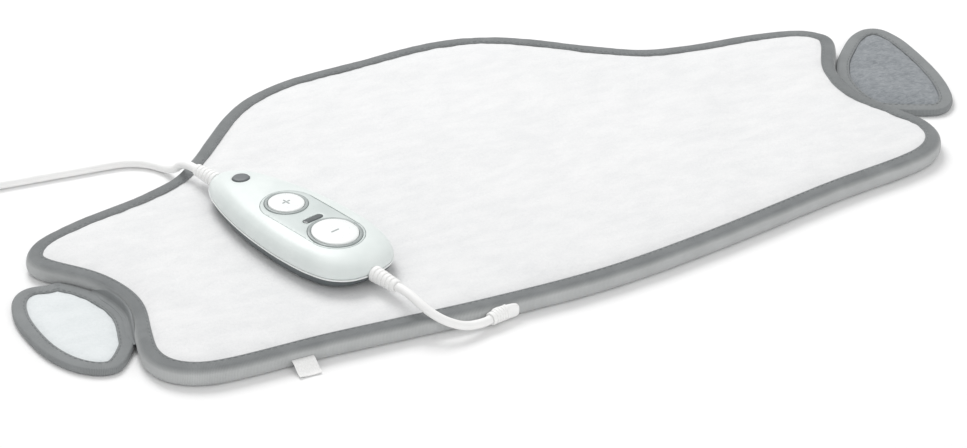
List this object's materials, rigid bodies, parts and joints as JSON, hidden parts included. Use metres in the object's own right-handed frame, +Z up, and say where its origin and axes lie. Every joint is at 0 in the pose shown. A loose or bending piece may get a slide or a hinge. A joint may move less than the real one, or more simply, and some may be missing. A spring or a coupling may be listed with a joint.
{
  "type": "heating pad with controller",
  "caption": "Flat fleece heating pad shaped to the back and waist, with a taped edge, a folding tab at each end and an in-line handset with power, warmer and cooler buttons.",
  "frame": {"origin": "middle of the pad's underside, on the surface that it lies on", "axes": "+X along the pad towards the right tab, +Y towards the raised back edge, +Z up"},
  "size_m": [0.7346, 0.3935, 0.0372],
  "materials": {
    "fleece": "short white fleece",
    "grey_fleece": "short grey fleece",
    "edge_tape": "folded grey tape",
    "label_tape": "blank white satin tape",
    "wadding": "needled wadding",
    "wire_sheath": "insulated heating wire",
    "housing_plastic": "fine satin",
    "panel_plastic": "satin",
    "ring_plastic": "satin",
    "key_white": "satin",
    "key_grey": "satin",
    "dark_plastic": "smooth",
    "black_plastic": "moulded",
    "board_laminate": "printed board",
    "cord_rubber": "soft white sheath",
    "steel": "bright"
  },
  "bodies": {
    "pad_and_handset": {"pad_back_cover": "fleece", "lower_wadding": "wadding", "wire_carrier": "wadding", "heating_wire": "wire_sheath", "overheat_limiter_1": "dark_plastic", "overheat_limiter_2": "dark_plastic", "upper_wadding": "wadding", "pad_top_cover": "fleece", "edge_binding": "edge_tape", "care_label": "label_tape", "pad_cord_gland": "cord_rubber", "handset_lower_shell": "key_grey", "handset_upper_shell": "housing_plastic", "parting_band_left": "housing_plastic", "parting_band_right": "housing_plastic", "control_panel": "panel_plastic", "status_lens": "dark_plastic", "warmer_button_ring": "ring_plastic", "cooler_button_ring": "ring_plastic", "power_switch": "black_plastic", "warmer_switch": "black_plastic", "cooler_switch": "black_plastic", "circuit_board": "board_laminate", "control_chip": "black_plastic", "status_lamp": "key_white", "power_switching_device": "black_plastic", "film_capacitor": "ring_plastic", "fuse": "steel", "housing_screw_1": "steel", "housing_screw_2": "steel", "housing_screw_3": "steel", "housing_screw_4": "steel", "far_strain_relief": "cord_rubber", "near_strain_relief": "cord_rubber", "pad_lead": "cord_rubber", "mains_lead": "cord_rubber", "mains_lead_coil": "cord_rubber", "mains_lead_tail": "cord_rubber", "coil_tie": "cord_rubber", "plug_body": "cord_rubber", "plug_pin_1": "steel", "plug_pin_2": "steel"},
    "power_key": {"power_button": "key_grey", "power_plunger": "key_white"},
    "warmer_key": {"warmer_button": "key_white", "warmer_plunger": "key_white"},
    "cooler_key": {"cooler_button": "key_white", "cooler_plunger": "key_white"},
    "left_tab": {"left_tab_pad": "fleece", "left_tab_binding": "edge_tape"},
    "right_tab": {"right_tab_pad": "grey_fleece", "right_tab_binding": "edge_tape"}
  },
  "joints": [
    {"name": "power_press", "type": "slide", "parent": "pad_and_handset", "child": "power_key", "axis": [0, 0, -1], "range_m": [0, 0.001], "stiffness_N_per_m": 500, "springref_m": -0.001},
    {"name": "warmer_press", "type": "slide", "parent": "pad_and_handset", "child": "warmer_key", "axis": [0, 0, -1], "range_m": [0, 0.001], "stiffness_N_per_m": 500, "springref_m": -0.001},
    {"name": "cooler_press", "type": "slide", "parent": "pad_and_handset", "child": "cooler_key", "axis": [0, 0, -1], "range_m": [0, 0.001], "stiffness_N_per_m": 500, "springref_m": -0.001},
    {"name": "left_tab_fold", "type": "hinge", "parent": "pad_and_handset", "child": "left_tab", "pos_m": [-0.26566, -0.045, 0.012], "axis": [0, 1, 0], "range_deg": [0, 170]},
    {"name": "right_tab_fold", "type": "hinge", "parent": "pad_and_handset", "child": "right_tab", "pos_m": [0.26566, -0.045, 0.012], "axis": [0, -1, 0], "range_deg": [0, 170]}
  ]
}
